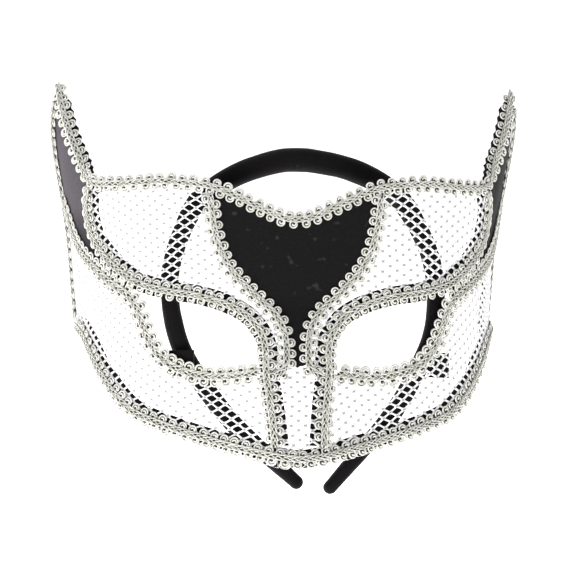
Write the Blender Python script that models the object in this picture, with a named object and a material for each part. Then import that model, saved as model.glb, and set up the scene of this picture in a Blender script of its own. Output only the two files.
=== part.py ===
"""A party mask of white net, silver braid and black fabric on a padded headband, lying face up.

Every sewn piece is drafted flat, as a pattern is: x is the way round the face from its middle
line, y is the way up from the foot of the nose, and z is the height off the cloth. The flat
piece is then wrapped on the form of the face. Lengths are in metres. +Z points out of the face
and +Y to the forehead. Left and right are those of a viewer who looks at the mask's front.
"""
import math

import bmesh
import bpy
import numpy as np
from mathutils import Vector

# Form of the face
FACE_HALF_WIDTH = 0.0925
FACE_DEPTH = 0.070
FACE_FULLNESS = 2.4
FACE_HEIGHT = 0.100
NOSE_HEIGHT = 0.018
NOSE_HALF_WIDTH = 0.036
WING_FLARE = 0.0105
JAW_TUCK = 0.0030

# Cloth, braid and tape
NET_THICKNESS = 0.001
FABRIC_THICKNESS = 0.0012
BRAID_WIDTH = 0.0073
BRAID_THICKNESS = 0.0022
TAPE_WIDTH = 0.0090
TAPE_THICKNESS = 0.0010
TAPE_END_POINTS = 3
WING_SELVEDGE = 0.0010

# Headband and its felt tabs
BAND_HALF_WIDTH = 0.0567
BAND_LENGTH = 0.1387
BAND_WIDTH = 0.0100
BAND_THICKNESS = 0.0080
BAND_TILT = math.radians(5.0)
BAND_ROLL = math.radians(2.9)
BAND_SHIFT = 0.0068
TAB_LENGTH = 0.0106
TAB_WIDTH = 0.0105
TAB_THICKNESS = 0.0020
TAB_HOLLOW = 0.0003
TAB_SHIFT = 0.0032

# Clearances between pieces that touch
GAP = 0.0003

# Fineness of the modelled surfaces
LINE_STEP = 0.0058
CLOTH_STEP = 0.0072
CLOTH_ROW_STEP = 0.0100
BAND_STEP = 0.0065
BAND_SIDES = 12
ARC_SAMPLES = 2000
SLOPE_STEP = 0.0002
SEAT_SAMPLES = 400
SHARP_ANGLE = math.radians(40.0)

# Where the form changes, as shares of the face's height above the foot of the nose
NOSE_TOP_SHARE = 0.67
FLARE_START_SHARE = 0.84
FLARE_END_SHARE = 1.64
TUCK_START_SHARE = 0.95
TUCK_END_SHARE = 0.55
NOSE_RISE_POWER = 1.1

# How far round the half girth a felt tab may lie, and how sharp a mitre a seam line may have
SEAT_END_SHARE = 0.70
MITRE_LIMIT = 0.5

# Seam lines: a place's name or "", its share of the half girth, its share of the face's height
BROW_LINE = (
    ("middle", 0.000, 1.000),
    ("", 0.045, 1.010),
    ("", 0.147, 1.075),
    ("", 0.208, 1.116),
    ("shield corner", 0.262, 1.142),
    ("", 0.324, 1.156),
    ("", 0.400, 1.168),
    ("", 0.560, 1.170),
    ("root", 0.665, 1.195),
    ("", 0.712, 1.275),
    ("", 0.750, 1.374),
    ("", 0.785, 1.490),
    ("wing end", 0.820, 1.605),
)
EYE_LINE = (
    ("root", 0.665, 1.195),
    ("", 0.702, 1.120),
    ("", 0.710, 1.049),
    ("", 0.700, 0.983),
    ("", 0.678, 0.929),
    ("", 0.634, 0.876),
    ("", 0.575, 0.818),
    ("corner", 0.512, 0.763),
    ("", 0.409, 0.718),
    ("", 0.308, 0.694),
    ("", 0.211, 0.650),
    ("", 0.145, 0.590),
    ("", 0.104, 0.510),
    ("", 0.094, 0.440),
    ("nose top", 0.093, 0.362),
    ("", 0.085, 0.280),
    ("", 0.072, 0.128),
    ("foot", 0.066, -0.025),
)
SHIELD_LINE = (
    ("shield corner", 0.262, 1.142),
    ("", 0.252, 0.962),
    ("", 0.223, 0.836),
    ("", 0.178, 0.752),
    ("", 0.115, 0.668),
    ("", 0.060, 0.590),
    ("", 0.037, 0.510),
    ("point", 0.033, 0.400),
)
CHEEK_LINE = (
    ("wing rear", 0.970, 1.215),
    ("", 0.905, 1.130),
    ("", 0.868, 1.055),
    ("", 0.830, 0.977),
    ("", 0.760, 0.891),
    ("", 0.675, 0.814),
    ("", 0.612, 0.750),
    ("corner", 0.556, 0.696),
    ("", 0.521, 0.640),
    ("", 0.500, 0.580),
    ("", 0.473, 0.511),
    ("", 0.441, 0.455),
    ("", 0.400, 0.408),
    ("", 0.340, 0.370),
    ("", 0.250, 0.350),
    ("nose top", 0.093, 0.362),
)
WING_REAR_LINE = (
    ("wing tip", 0.812, 1.648),
    ("", 0.860, 1.580),
    ("", 0.905, 1.500),
    ("", 0.940, 1.410),
    ("", 0.960, 1.310),
    ("wing rear", 0.970, 1.215),
)
HEM_LINE = (
    ("wing rear", 0.970, 1.215),
    ("", 0.995, 1.100),
    ("", 1.000, 0.960),
    ("", 1.000, 0.640),
    ("", 0.986, 0.592),
    ("", 0.945, 0.566),
    ("", 0.870, 0.552),
    ("", 0.790, 0.513),
    ("", 0.745, 0.455),
    ("", 0.703, 0.390),
    ("", 0.603, 0.250),
    ("", 0.540, 0.183),
    ("", 0.475, 0.142),
    ("", 0.316, 0.070),
    ("", 0.150, 0.006),
    ("foot", 0.066, -0.025),
    ("middle", 0.000, -0.038),
)
NOSE_PEAK_UP_SHARE = 0.385

# Headband line: shares of its half width and of its length below the top of the arch
BAND_LINE = (
    ("", 0.000, 0.000),
    ("", 0.100, 0.002),
    ("", 0.270, 0.015),
    ("", 0.420, 0.035),
    ("", 0.615, 0.077),
    ("", 0.770, 0.128),
    ("", 0.920, 0.243),
    ("", 0.986, 0.334),
    ("", 1.000, 0.427),
    ("", 0.980, 0.506),
    ("", 0.934, 0.575),
    ("tab", 0.859, 0.637),
    ("", 0.735, 0.723),
    ("", 0.578, 0.810),
    ("", 0.372, 0.898),
    ("end", 0.150, 0.990),
)
BAND_END_STAGGER = 0.0040

# Fullness of the band: share of its length below the top, share of its section at the tabs
BAND_FULLNESS = ((0.00, 1.22), (0.08, 1.14), (0.20, 1.00), (0.40, 0.93), (0.55, 0.96), (0.66, 1.00),
                 (0.80, 0.96), (0.90, 0.86), (1.00, 0.72))

# Rounded ends of the band: share of its half thickness past the end, share of its section
BAND_CAP = ((0.50, 0.87), (0.85, 0.53))
TAB_UP_SHARE = 0.410

# Cross-sections: share of the width to each side, share of the thickness
BRAID_PROFILE = ((-0.5, 0.0), (0.0, 0.0), (0.5, 0.0), (0.5, 0.5), (0.25, 1.0), (-0.25, 1.0),
                 (-0.5, 0.5))
TAPE_PROFILE = ((-0.5, 0.0), (0.5, 0.0), (0.5, 1.0), (-0.5, 1.0))

# Colours, roughness
NET_WHITE = ((0.93, 0.93, 0.92), 0.55)
SILVER = ((0.78, 0.77, 0.71), 0.45)
FABRIC_BLACK = ((0.012, 0.012, 0.012), 0.85)
BAND_BLACK = ((0.010, 0.009, 0.010), 0.90)
FELT_BLACK = ((0.016, 0.016, 0.016), 0.95)


# Form of the face
def smooth(share):
    """An S-curve from 0 to 1."""
    t = min(max(share, 0.0), 1.0)
    return t * t * (3.0 - 2.0 * t)


def face_arc():
    """The face's level section from its middle to its rear edge: arc length, x and z."""
    angle = np.linspace(0.0, math.pi / 2, ARC_SAMPLES)
    x = FACE_HALF_WIDTH * np.sin(angle) ** (2.0 / FACE_FULLNESS)
    z = FACE_DEPTH * np.cos(angle) ** (2.0 / FACE_FULLNESS)
    arc = np.concatenate(([0.0], np.cumsum(np.hypot(np.diff(x), np.diff(z)))))
    return arc, x, z


ARC, ARC_X, ARC_Z = face_arc()
HALF_GIRTH = float(ARC[-1])


def face_point(s, y):
    """The form's point at a distance s round from the middle line and y up."""
    up = y / FACE_HEIGHT
    flare = smooth((up - FLARE_START_SHARE) / (FLARE_END_SHARE - FLARE_START_SHARE))
    tuck = smooth((TUCK_START_SHARE - up) / (TUCK_START_SHARE - TUCK_END_SHARE))
    level = float(np.interp(abs(s), ARC, ARC_Z))
    width = 1.0 + WING_FLARE / FACE_HALF_WIDTH * flare
    width -= JAW_TUCK / FACE_HALF_WIDTH * tuck * (1.0 - level / FACE_DEPTH) ** 2
    x = math.copysign(float(np.interp(abs(s), ARC, ARC_X)), s) * width
    rise = max(NOSE_TOP_SHARE - up, 0.0) / NOSE_TOP_SHARE
    bump = 0.5 + 0.5 * math.cos(math.pi * min(abs(s) / NOSE_HALF_WIDTH, 1.0))
    return Vector((x, y, level + NOSE_HEIGHT * rise ** NOSE_RISE_POWER * bump))


def face_normal(s, y):
    """The outward direction of the form there."""
    around = face_point(s + SLOPE_STEP, y) - face_point(s - SLOPE_STEP, y)
    upward = face_point(s, y + SLOPE_STEP) - face_point(s, y - SLOPE_STEP)
    return around.cross(upward).normalized()


def wrapped(flat):
    """A flat pattern point, laid on the form at its height off the cloth."""
    inside = min(abs(flat.x), HALF_GIRTH - SLOPE_STEP)
    edge = math.copysign(inside, flat.x)
    normal = face_normal(edge, flat.y)
    return face_point(flat.x, flat.y) + flat.z * normal


# Lines on the flat pattern
def drawn(table, width, height, step=LINE_STEP):
    """A smooth line through a table's places, as a list of (name, flat point)."""
    knots = [Vector((across * width, up * height)) for _, across, up in table]
    slopes = []
    for i, knot in enumerate(knots):
        before = knots[max(i - 1, 0)]
        after = knots[min(i + 1, len(knots) - 1)]
        slopes.append((after - before) / ((after - knot).length + (knot - before).length))
    line = []
    for i in range(len(knots) - 1):
        start, end = knots[i], knots[i + 1]
        length = (end - start).length
        count = max(1, round(length / step))
        for k in range(count):
            t = k / count
            point = ((2 * t**3 - 3 * t**2 + 1) * start + (3 * t**2 - 2 * t**3) * end
                     + (t**3 - 2 * t**2 + t) * length * slopes[i]
                     + (t**3 - t**2) * length * slopes[i + 1])
            line.append((table[i][0] if k == 0 else "", point))
    line.append((table[-1][0], knots[-1]))
    return line


def run(line, first, last):
    """The line's points from one named place to another."""
    names = [name for name, _ in line]
    points = [point for _, point in line]
    return points[names.index(first):names.index(last) + 1]


def beside(points, distance):
    """The line that runs at a distance to the right of another."""
    shifted = []
    for i, point in enumerate(points):
        ahead = (points[min(i + 1, len(points) - 1)] - point).normalized()
        behind = (point - points[max(i - 1, 0)]).normalized()
        along = (ahead + behind).normalized()
        mitre = 1.0 / max(along.dot(ahead if ahead.length else behind), MITRE_LIMIT)
        shifted.append(point + Vector((along.y, -along.x)) * distance * mitre)
    return shifted


def mirrored(points):
    return [Vector((-point.x, point.y)) for point in points]


def both_sides(points):
    """A right-hand line that starts on the middle line, with its mirror image before it."""
    return mirrored(points)[:0:-1] + points


BROW = drawn(BROW_LINE, HALF_GIRTH, FACE_HEIGHT)
EYE = drawn(EYE_LINE, HALF_GIRTH, FACE_HEIGHT)
SHIELD = drawn(SHIELD_LINE, HALF_GIRTH, FACE_HEIGHT)
CHEEK = drawn(CHEEK_LINE, HALF_GIRTH, FACE_HEIGHT)
WING_REAR = drawn(WING_REAR_LINE, HALF_GIRTH, FACE_HEIGHT)
HEM = drawn(HEM_LINE, HALF_GIRTH, FACE_HEIGHT)
NOSE_PEAK = Vector((0.0, NOSE_PEAK_UP_SHARE * FACE_HEIGHT))


# Objects
def material(name, look):
    colour, roughness = look
    made = bpy.data.materials.new(name)
    made.use_nodes = True
    shader = made.node_tree.nodes["Principled BSDF"]
    shader.inputs["Base Color"].default_value = (*colour, 1.0)
    shader.inputs["Roughness"].default_value = roughness
    return made


def add_object(name, mesh_data, look, parent):
    """An object of a bmesh, which is freed."""
    bmesh.ops.recalc_face_normals(mesh_data, faces=mesh_data.faces)
    mesh = bpy.data.meshes.new(name)
    mesh_data.to_mesh(mesh)
    mesh_data.free()
    mesh.materials.append(look)
    mesh.shade_smooth()
    mesh.set_sharp_from_angle(angle=SHARP_ANGLE)
    made = bpy.data.objects.new(name, mesh)
    made.parent = parent
    bpy.context.collection.objects.link(made)
    return made


def wrap_all(flat_mesh):
    """Lays a flat piece on the form of the face."""
    places = [wrapped(vert.co) for vert in flat_mesh.verts]
    for vert, place in zip(flat_mesh.verts, places):
        vert.co = place
    bmesh.ops.triangulate(flat_mesh, faces=flat_mesh.faces)


def cut_in_strips(sheet, direction, step, fine_step, fine_reach):
    """Cuts a flat sheet along parallel lines, closer together near the middle line."""
    reach = [vert.co.dot(direction) for vert in sheet.verts]
    for k in range(math.floor(min(reach) / fine_step) + 1, math.ceil(max(reach) / fine_step)):
        place = k * fine_step
        if abs(place) > fine_reach and k % round(step / fine_step):
            continue
        geometry = sheet.verts[:] + sheet.edges[:] + sheet.faces[:]
        bmesh.ops.bisect_plane(sheet, geom=geometry, dist=GAP / 10, plane_co=direction * place,
                               plane_no=direction)


def cloth(outline, low, high):
    """A flat piece of cloth between two heights, with a seam allowance taken off its outline."""
    sheet = bmesh.new()
    face = sheet.faces.new([sheet.verts.new((point.x, point.y, 0.0)) for point in outline])
    sheet.normal_update()
    rim = bmesh.ops.inset_region(sheet, faces=[face], thickness=GAP / 2, use_boundary=True,
                                 use_even_offset=True)["faces"]
    bmesh.ops.delete(sheet, geom=rim, context="FACES")
    cut_in_strips(sheet, Vector((1.0, 0.0, 0.0)), CLOTH_STEP, CLOTH_STEP / 2, NOSE_HALF_WIDTH)
    cut_in_strips(sheet, Vector((0.0, 1.0, 0.0)), CLOTH_ROW_STEP, CLOTH_ROW_STEP, 0.0)
    bmesh.ops.remove_doubles(sheet, verts=sheet.verts, dist=GAP / 2)
    bmesh.ops.triangulate(sheet, faces=sheet.faces)
    solid = bmesh.new()
    sheet.verts.index_update()
    lower = [solid.verts.new((vert.co.x, vert.co.y, low)) for vert in sheet.verts]
    upper = [solid.verts.new((vert.co.x, vert.co.y, high)) for vert in sheet.verts]
    for face in sheet.faces:
        corners = [vert.index for vert in face.verts]
        solid.faces.new([upper[i] for i in corners])
        solid.faces.new([lower[i] for i in reversed(corners)])
    for edge in sheet.edges:
        if len(edge.link_faces) == 1:
            a, b = (vert.index for vert in edge.verts)
            solid.faces.new((lower[a], lower[b], upper[b], upper[a]))
    sheet.free()
    return solid


def strip(points, width, low, high, profile):
    """A flat strip along a line, with the profile's cross-section."""
    solid = bmesh.new()
    sides = {share: beside(points, share * width) for share, _ in profile}
    rings = []
    for i in range(len(points)):
        ring = [solid.verts.new((*sides[share][i], low + rise * (high - low)))
                for share, rise in profile]
        rings.append(ring)
    for ring, following in zip(rings, rings[1:]):
        for k in range(len(profile)):
            j = (k + 1) % len(profile)
            solid.faces.new((ring[k], ring[j], following[j], following[k]))
    solid.faces.new(rings[0])
    solid.faces.new(rings[-1])
    bmesh.ops.recalc_face_normals(solid, faces=solid.faces)
    return solid


def scene_object(solid, name):
    mesh = bpy.data.meshes.new(name)
    solid.to_mesh(mesh)
    solid.free()
    made = bpy.data.objects.new(name, mesh)
    bpy.context.collection.objects.link(made)
    return made


def trimmed(solid, neighbours, width, low, high):
    """A flat strip, cut back where the lines of its neighbours pass, with a gap to them."""
    target = scene_object(solid, "strip")
    cutters = []
    for points in neighbours:
        start = points[0] + (points[0] - points[1]).normalized() * GAP
        end = points[-1] + (points[-1] - points[-2]).normalized() * GAP
        longer = [start, *points, end]
        room = strip(longer, width + 2 * GAP, low - width, high + width, TAPE_PROFILE)
        cutter = scene_object(room, "cutter")
        cut = target.modifiers.new("cut", "BOOLEAN")
        cut.operation = "DIFFERENCE"
        cut.object = cutter
        cutters.append(cutter)
    graph = bpy.context.evaluated_depsgraph_get()
    result = bmesh.new()
    result.from_object(target, graph)
    for made in [target, *cutters]:
        bpy.data.objects.remove(made)
    bmesh.ops.remove_doubles(result, verts=result.verts, dist=GAP / 10)
    return largest_body(result)


def largest_body(solid):
    """Drops the scraps that a cut leaves beside the main body."""
    left = set(solid.verts)
    bodies = []
    while left:
        body = {left.pop()}
        front = list(body)
        while front:
            vert = front.pop()
            for edge in vert.link_edges:
                other = edge.other_vert(vert)
                if other in left:
                    left.remove(other)
                    body.add(other)
                    front.append(other)
        bodies.append(body)
    bodies.sort(key=len)
    for scrap in bodies[:-1]:
        bmesh.ops.delete(solid, geom=list(scrap), context="VERTS")
    return solid


# Sewn pieces
def panels(parent):
    """The net and fabric panels, each inside its seam lines."""
    net = material("net", NET_WHITE)
    fabric = material("fabric", FABRIC_BLACK)
    net_layers = (-NET_THICKNESS / 2, NET_THICKNESS / 2)
    fabric_layers = (-FABRIC_THICKNESS / 2, FABRIC_THICKNESS / 2)

    shield = run(BROW, "middle", "shield corner") + run(SHIELD, "shield corner", "point")[1:]
    shield_outline = mirrored(shield)[:0:-1] + shield + [NOSE_PEAK]
    piece = cloth(shield_outline, *fabric_layers)
    wrap_all(piece)
    add_object("forehead_panel", piece, fabric, parent)

    nose = [NOSE_PEAK, SHIELD[-1][1]] + run(EYE, "nose top", "foot")
    nose += run(HEM, "foot", "middle")[1:]
    nose_outline = nose + mirrored(nose)[-2:0:-1]
    piece = cloth(nose_outline, *net_layers)
    wrap_all(piece)
    add_object("nose_mesh", piece, net, parent)

    brow = run(BROW, "shield corner", "root") + run(EYE, "root", "nose top")[1:]
    brow += run(SHIELD, "shield corner", "point")[:0:-1]
    cheek = run(CHEEK, "wing rear", "nose top") + run(EYE, "nose top", "foot")[1:]
    cheek += run(HEM, "wing rear", "foot")[-2:0:-1]
    wing_front = beside(run(BROW, "root", "wing end"), -(BRAID_WIDTH / 2 + WING_SELVEDGE))
    wing = run(EYE, "root", "corner")[::-1] + wing_front[1:-1]
    wing += run(WING_REAR, "wing tip", "wing rear")[1:] + run(CHEEK, "wing rear", "corner")[1:]
    for side, flip in (("right", list), ("left", mirrored)):
        for name, outline, layers, look in (("brow_mesh", brow, net_layers, net),
                                            ("cheek_mesh", cheek, net_layers, net),
                                            ("wing_panel", wing, fabric_layers, fabric)):
            piece = cloth(flip(outline), *layers)
            wrap_all(piece)
            add_object(f"{name}_{side}", piece, look, parent)


def edge_line(width):
    """The middle of a strip that lies just inside the mask's rear edge and hem."""
    edge = run(WING_REAR, "wing tip", "wing rear") + run(HEM, "wing rear", "middle")[1:]
    inner = beside(edge, width / 2 + GAP)
    inner[-1].x = 0.0
    return both_sides(inner[::-1])


def braids(parent):
    """Silver braid over the seams. Each strip stops at the ones laid before it."""
    silver = material("braid", SILVER)
    low = max(NET_THICKNESS, FABRIC_THICKNESS) / 2 + GAP
    high = low + BRAID_THICKNESS
    brow = both_sides(run(BROW, "middle", "wing end"))
    edge = edge_line(BRAID_WIDTH)
    eye = run(EYE, "root", "foot")
    shield = run(SHIELD, "shield corner", "point")
    cheek = run(CHEEK, "wing rear", "nose top")
    laid = [("top_braid", brow, []), ("hem_braid", edge, [brow])]
    for side, flip in (("right", list), ("left", mirrored)):
        laid.append((f"eye_braid_{side}", flip(eye), [brow, edge]))
        laid.append((f"shield_braid_{side}", flip(shield), [brow, flip(eye)]))
        laid.append((f"cheek_braid_{side}", flip(cheek), [edge, flip(eye)]))
    for name, points, neighbours in laid:
        piece = strip(points, BRAID_WIDTH, low, high, BRAID_PROFILE)
        if neighbours:
            piece = trimmed(piece, neighbours, BRAID_WIDTH, low, high)
        wrap_all(piece)
        add_object(name, piece, silver, parent)


def tapes(parent):
    """Black tape behind the hem's and the eyes' braid. The hem's stops short of the wing tips."""
    black = material("tape", FABRIC_BLACK)
    high = -(max(NET_THICKNESS, FABRIC_THICKNESS) / 2 + GAP)
    low = high - TAPE_THICKNESS
    edge = edge_line(TAPE_WIDTH)
    eye = run(EYE, "root", "foot")
    hem = edge[TAPE_END_POINTS:-TAPE_END_POINTS]
    piece = strip(hem, TAPE_WIDTH, low, high, TAPE_PROFILE)
    wrap_all(piece)
    add_object("hem_tape", piece, black, parent)
    for side, flip in (("right", list), ("left", mirrored)):
        piece = strip(flip(eye), TAPE_WIDTH, low, high, TAPE_PROFILE)
        piece = trimmed(piece, [edge], TAPE_WIDTH, low, high)
        wrap_all(piece)
        add_object(f"eye_tape_{side}", piece, black, parent)


# Headband
def band_seat(x, y):
    """Where a felt tab lies on the form so that the band's middle at x bears on it."""
    behind = NET_THICKNESS / 2 + GAP + TAB_THICKNESS + GAP
    behind += TAB_LENGTH / 2 * math.tan(BAND_TILT) + TAB_HOLLOW
    best = None
    for share in np.linspace(0.0, SEAT_END_SHARE, SEAT_SAMPLES):
        s = math.copysign(share * HALF_GIRTH, x)
        normal = face_normal(s, y)
        reach = math.hypot(normal.x * BAND_THICKNESS / 2, normal.z * BAND_WIDTH / 2)
        middle = face_point(s, y) - (behind + reach) * normal
        miss = abs(middle.x - x)
        if best is None or miss < best[0]:
            best = (miss, s, middle)
    return best[1], best[2]


def rounded_ends(line):
    """The band's middle points with their share of its section, smaller past each end."""
    downs, shares = zip(*BAND_FULLNESS)
    full = [float(np.interp(-point.y / BAND_LENGTH, downs, shares)) for point in line]
    start = (line[0] - line[1]).normalized() * BAND_THICKNESS / 2 * full[0]
    end = (line[-1] - line[-2]).normalized() * BAND_THICKNESS / 2 * full[-1]
    centres = [(line[0] + start * along, full[0] * size) for along, size in BAND_CAP[::-1]]
    centres += zip(line, full)
    centres += [(line[-1] + end * along, full[-1] * size) for along, size in BAND_CAP]
    return centres


def headband(parent):
    """The padded band, a nearly closed loop in one plane, and the two felt tabs it bears on."""
    half = drawn(BAND_LINE, BAND_HALF_WIDTH, -BAND_LENGTH, BAND_STEP)
    hang = run(half, "tab", "end")[0]
    line = both_sides([point for _, point in half])
    line[-1] = line[-1] + (line[-1] - line[-2]).normalized() * BAND_END_STAGGER
    tab_y = TAB_UP_SHARE * FACE_HEIGHT
    seats = {side: band_seat(BAND_SHIFT + sign * hang.x, tab_y)
             for side, sign in (("left", -1.0), ("right", 1.0))}
    (left_s, left), (right_s, right) = seats["left"], seats["right"]
    yaw = -math.atan2(right.z - left.z, right.x - left.x)

    solid = bmesh.new()
    rings = []
    centres = rounded_ends(line)
    for i, (point, size) in enumerate(centres):
        ahead = centres[min(i + 1, len(centres) - 1)][0] - centres[max(i - 1, 0)][0]
        outward = Vector((-ahead.y, ahead.x, 0.0)).normalized()
        ring = []
        for k in range(BAND_SIDES):
            angle = 2 * math.pi * k / BAND_SIDES
            offset = (outward * math.cos(angle) * BAND_THICKNESS / 2
                      + Vector((0.0, 0.0, 1.0)) * math.sin(angle) * BAND_WIDTH / 2)
            ring.append(solid.verts.new(Vector((point.x, point.y - hang.y, 0.0)) + offset * size))
        rings.append(ring)
    for ring, following in zip(rings, rings[1:]):
        for k in range(BAND_SIDES):
            j = (k + 1) % BAND_SIDES
            solid.faces.new((ring[k], ring[j], following[j], following[k]))
    solid.faces.new(rings[0])
    solid.faces.new(rings[-1])
    band = add_object("headband", solid, material("band", BAND_BLACK), parent)
    band.location = (BAND_SHIFT, tab_y, (left.z + right.z) / 2)
    band.rotation_euler = (-BAND_TILT, yaw, BAND_ROLL)

    felt = material("felt", FELT_BLACK)
    high = -(NET_THICKNESS / 2 + GAP)
    for side, s in (("left", left_s - TAB_SHIFT), ("right", right_s + TAB_SHIFT)):
        corners = [Vector((s + a * TAB_WIDTH / 2, tab_y + b * TAB_LENGTH / 2))
                   for a, b in ((-1, -1), (1, -1), (1, 1), (-1, 1))]
        piece = cloth(corners, high - TAB_THICKNESS, high)
        wrap_all(piece)
        add_object(f"headband_tab_{side}", piece, felt, parent)


def stand_on_floor(root):
    """Moves the whole mask so that it stands on z = 0, with its box centred on x and y."""
    bpy.context.view_layer.update()
    corners = [made.matrix_world @ vert.co for made in root.children for vert in made.data.vertices]
    low = Vector([min(corner[axis] for corner in corners) for axis in range(3)])
    high = Vector([max(corner[axis] for corner in corners) for axis in range(3)])
    root.location = (-(low.x + high.x) / 2, -(low.y + high.y) / 2, -low.z)


def main():
    for made in list(bpy.data.objects):
        bpy.data.objects.remove(made)
    root = bpy.data.objects.new("mesh_mask", None)
    bpy.context.collection.objects.link(root)
    panels(root)
    braids(root)
    tapes(root)
    headband(root)
    stand_on_floor(root)


main()
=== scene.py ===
import math

import bmesh
import bpy
import numpy as np
from mathutils import Euler, Matrix, Vector, noise


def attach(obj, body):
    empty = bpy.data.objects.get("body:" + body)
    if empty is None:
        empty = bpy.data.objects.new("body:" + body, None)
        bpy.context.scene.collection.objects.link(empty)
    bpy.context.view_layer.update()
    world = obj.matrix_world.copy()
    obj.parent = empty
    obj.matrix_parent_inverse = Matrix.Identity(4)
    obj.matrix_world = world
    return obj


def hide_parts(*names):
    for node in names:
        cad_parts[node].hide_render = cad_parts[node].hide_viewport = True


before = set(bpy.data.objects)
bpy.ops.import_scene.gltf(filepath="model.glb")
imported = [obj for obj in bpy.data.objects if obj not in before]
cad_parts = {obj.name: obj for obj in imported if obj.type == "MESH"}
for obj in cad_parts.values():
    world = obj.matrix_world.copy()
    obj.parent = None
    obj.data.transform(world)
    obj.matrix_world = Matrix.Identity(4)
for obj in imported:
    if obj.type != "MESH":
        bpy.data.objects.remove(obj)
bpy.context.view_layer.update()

# Form of the face, as in the CAD source
FACE_HALF_WIDTH = 0.0925
FACE_DEPTH = 0.070
FACE_FULLNESS = 2.4
FACE_HEIGHT = 0.100
NOSE_HEIGHT = 0.018
NOSE_HALF_WIDTH = 0.036
WING_FLARE = 0.0105
JAW_TUCK = 0.0030
NOSE_TOP_SHARE = 0.67
FLARE_START_SHARE = 0.84
FLARE_END_SHARE = 1.64
TUCK_START_SHARE = 0.95
TUCK_END_SHARE = 0.55
NOSE_RISE_POWER = 1.1
ARC_SAMPLES = 2000
SLOPE_STEP = 0.0002
FACE_PLACE = np.array((0.0, -0.07439, 0.00006))

# Cloth, braid and tape
NET_THICKNESS = 0.001
FABRIC_THICKNESS = 0.0012
BRAID_WIDTH = 0.0073
HEM_TAPE_WIDTH = 0.0072
HEM_TAPE_INSET = 0.0011
EYE_TAPE_WIDTH = 0.0079
EYE_TAPE_SHIFT = 0.0006
TAPE_THICKNESS = 0.0009
TAPE_END_POINTS = 11
WING_SELVEDGE = -0.0006
WING_TEETH = 0.0009
WING_TEETH_PITCH = 0.0042
WING_CURL = math.radians(48.0)
WING_CURL_START = 0.016
WING_CURL_BEND = 0.0030
GAP = 0.0003
CLOTH_STEP = 0.003
CLOTH_RIPPLE = 0.00025
CLOTH_RIPPLE_SCALE = 70.0
CLOTH_RIPPLE_LAYER = 0.3
TOOTH_POINTS = 4
TAPE_STEP = 0.002
TAPE_ROWS = (-0.5, -0.25, 0.0, 0.25, 0.5)
TAPE_CREASE = math.radians(50.0)
NET_CREASE = math.radians(60.0)
LEAST_TURN = 1e-6
LEAST_SPAN_SQUARED = 1e-18
WELD_STEP = 1e-6

# Headband and its felt tabs
BAND_HALF_WIDTH = 0.0567
BAND_LENGTH = 0.1387
BAND_WIDTH = 0.0100
BAND_THICKNESS = 0.0080
BAND_TILT = math.radians(5.0)
BAND_ROLL = math.radians(2.9)
BAND_SHIFT = 0.0068
BAND_END_STAGGER = 0.0040
TAB_LENGTH = 0.0106
TAB_WIDTH = 0.0105
TAB_THICKNESS = 0.0020
TAB_HOLLOW = 0.0003
TAB_SHIFT = 0.0032
TAB_UP_SHARE = 0.410
TAB_STEP = 0.001
SEAT_END_SHARE = 0.70
SEAT_SAMPLES = 400

# Fineness and shape of the headband's section, and shares of its half thickness in its round ends
BAND_SIDES = 24
BAND_STEP = 0.0016
BAND_SQUARENESS = 2.5
BAND_CAP = (0.30, 0.55, 0.76, 0.90, 0.98)
BAND_PUCKER = 0.030
BAND_PUCKER_SCALE = 160.0
BAND_PUCKER_ROUND = 1.2
BAND_FOLD = 0.075
BAND_FOLD_LENGTH = 0.020
BAND_FOLD_LAYER = 7.0

# Seam lines: a place's name or "", its share of the half girth, its share of the face's height
BROW_LINE = (
    ("middle", 0.000, 1.000),
    ("", 0.045, 1.010),
    ("", 0.147, 1.075),
    ("", 0.208, 1.116),
    ("shield corner", 0.262, 1.142),
    ("", 0.324, 1.156),
    ("", 0.400, 1.168),
    ("", 0.560, 1.170),
    ("root", 0.665, 1.195),
    ("", 0.712, 1.275),
    ("", 0.750, 1.374),
    ("", 0.785, 1.490),
    ("wing end", 0.820, 1.605),
)
EYE_LINE = (
    ("root", 0.665, 1.195),
    ("", 0.702, 1.120),
    ("", 0.710, 1.049),
    ("", 0.700, 0.983),
    ("", 0.678, 0.929),
    ("", 0.636, 0.870),
    ("", 0.580, 0.808),
    ("corner", 0.514, 0.751),
    ("", 0.409, 0.708),
    ("", 0.308, 0.685),
    ("", 0.211, 0.644),
    ("", 0.145, 0.590),
    ("", 0.104, 0.510),
    ("", 0.094, 0.440),
    ("nose top", 0.093, 0.362),
    ("", 0.085, 0.280),
    ("", 0.072, 0.128),
    ("foot", 0.066, -0.025),
)
SHIELD_LINE = (
    ("shield corner", 0.262, 1.142),
    ("", 0.252, 0.962),
    ("", 0.223, 0.836),
    ("", 0.178, 0.752),
    ("", 0.115, 0.668),
    ("", 0.060, 0.590),
    ("", 0.037, 0.510),
    ("point", 0.033, 0.400),
)
WING_TAIL = (
    ("", 0.828, 1.634),
    ("tip", 0.850, 1.642),
)
SHIELD_TAIL = (
    ("", 0.040, 0.372),
    ("tail", 0.062, 0.345),
)
CHEEK_LINE = (
    ("wing rear", 0.970, 1.215),
    ("", 0.905, 1.130),
    ("", 0.868, 1.055),
    ("", 0.830, 0.977),
    ("", 0.760, 0.891),
    ("", 0.675, 0.814),
    ("", 0.608, 0.753),
    ("corner", 0.542, 0.699),
    ("", 0.506, 0.640),
    ("", 0.488, 0.580),
    ("", 0.466, 0.511),
    ("", 0.438, 0.455),
    ("", 0.400, 0.408),
    ("", 0.340, 0.370),
    ("", 0.250, 0.350),
    ("nose top", 0.093, 0.362),
)
WING_REAR_LINE = (
    ("wing tip", 0.812, 1.648),
    ("", 0.860, 1.580),
    ("", 0.905, 1.500),
    ("", 0.940, 1.410),
    ("", 0.960, 1.310),
    ("wing rear", 0.970, 1.215),
)
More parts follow.
